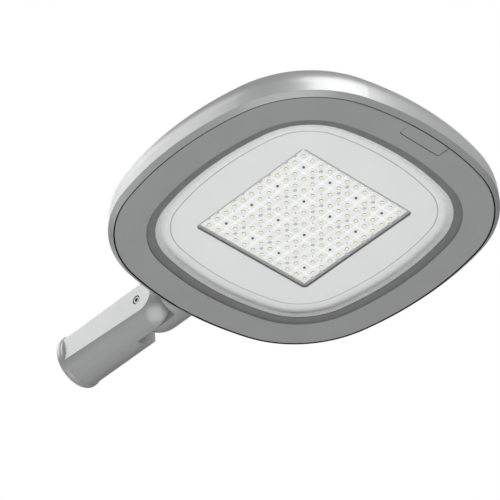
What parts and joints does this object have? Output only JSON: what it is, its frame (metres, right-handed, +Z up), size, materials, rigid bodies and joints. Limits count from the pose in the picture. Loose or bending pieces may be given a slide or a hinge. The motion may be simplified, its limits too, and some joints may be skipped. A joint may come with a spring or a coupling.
{
  "type": "led street light head",
  "caption": "Flat rounded-square LED street light head with a hinged glass door, a flush latch and a tilting spigot for a round mast arm.",
  "frame": {"origin": "middle of the spigot's open mouth, on the axis of its bore", "axes": "+X runs forward along the mast arm's axis from the spigot's mouth to the lamp's front edge with the latch, +Z is up with the lamp's flat glass face looking down along -Z, and +Y is to the left of someone who looks forward along +X"},
  "size_m": [0.7472, 0.5194, 0.1],
  "materials": {
    "silver_paint": "satin silver-grey powder coat on die-cast aluminium",
    "grey_paint": "satin mid-grey powder coat on die-cast aluminium",
    "zinc_steel": "zinc-plated steel",
    "dark_gasket": "matt dark-grey silicone",
    "dark_trim": "matt black moulded plastic",
    "clear_glass": "clear flat tempered glass",
    "pale_plastic": "satin pale-grey moulded sheet",
    "bare_aluminium": "bare extruded aluminium",
    "galvanised_sheet": "galvanised sheet steel",
    "driver_case": "plain aluminium driver case",
    "terminal_plastic": "off-white moulded plastic",
    "gland_plastic": "black moulded nylon",
    "lens_screw_steel": "plain stainless steel",
    "lens_plastic": "clear gloss moulded lenses, seen pale",
    "board_white": "white solder mask on an aluminium-backed board",
    "chip_yellow": "yellow phosphor"
  },
  "bodies": {
    "spigot": {"spigot_casting": "silver_paint", "clamp_screws": "zinc_steel", "pivot_screw": "zinc_steel"},
    "head": {"canopy": "silver_paint", "pivot_nut": "zinc_steel", "lap_washer": "zinc_steel", "hinge_pin": "zinc_steel", "catch_spring": "zinc_steel", "heat_sink": "bare_aluminium", "heat_sink_screws": "zinc_steel", "led_board_1": "board_white", "led_board_2": "board_white", "led_board_3": "board_white", "led_board_4": "board_white", "led_chips_1": "chip_yellow", "led_chips_2": "chip_yellow", "led_chips_3": "chip_yellow", "led_chips_4": "chip_yellow", "lens_plate_01": "lens_plastic", "lens_plate_02": "lens_plastic", "lens_plate_03": "lens_plastic", "lens_plate_04": "lens_plastic", "lens_plate_05": "lens_plastic", "lens_plate_06": "lens_plastic", "lens_plate_07": "lens_plastic", "lens_plate_08": "lens_plastic", "lens_plate_09": "lens_plastic", "lens_plate_10": "lens_plastic", "lens_plate_11": "lens_plastic", "lens_plate_12": "lens_plastic", "lens_plate_13": "lens_plastic", "lens_plate_14": "lens_plastic", "lens_plate_15": "lens_plastic", "lens_plate_16": "lens_plastic", "lens_screws": "lens_screw_steel", "light_cover": "pale_plastic", "window_trim": "dark_trim", "gear_tray": "galvanised_sheet", "tray_screws": "zinc_steel", "led_driver": "driver_case", "driver_screws": "zinc_steel", "surge_protector": "dark_trim", "terminal_block": "terminal_plastic", "cable_gland": "gland_plastic", "gland_nut": "gland_plastic"},
    "door": {"door_frame": "grey_paint", "glass": "clear_glass", "glass_gasket": "dark_gasket", "glass_clips": "zinc_steel", "rim_seal": "dark_gasket", "latch_pin": "zinc_steel"},
    "latch": {"latch_lever": "grey_paint"}
  },
  "joints": [
    {"name": "spigot_tilt", "type": "hinge", "parent": "spigot", "child": "head", "pos_m": [0.17, 0, 0], "axis": [0, 1, 0], "range_deg": [-15, 15]},
    {"name": "door_hinge", "type": "hinge", "parent": "head", "child": "door", "pos_m": [0.2368, 0, -0.0441], "axis": [0, 1, 0], "range_deg": [0, 75]},
    {"name": "latch_hinge", "type": "hinge", "parent": "door", "child": "latch", "pos_m": [0.7179, 0, -0.0432], "axis": [0, 1, 0], "range_deg": [0, 45]}
  ]
}
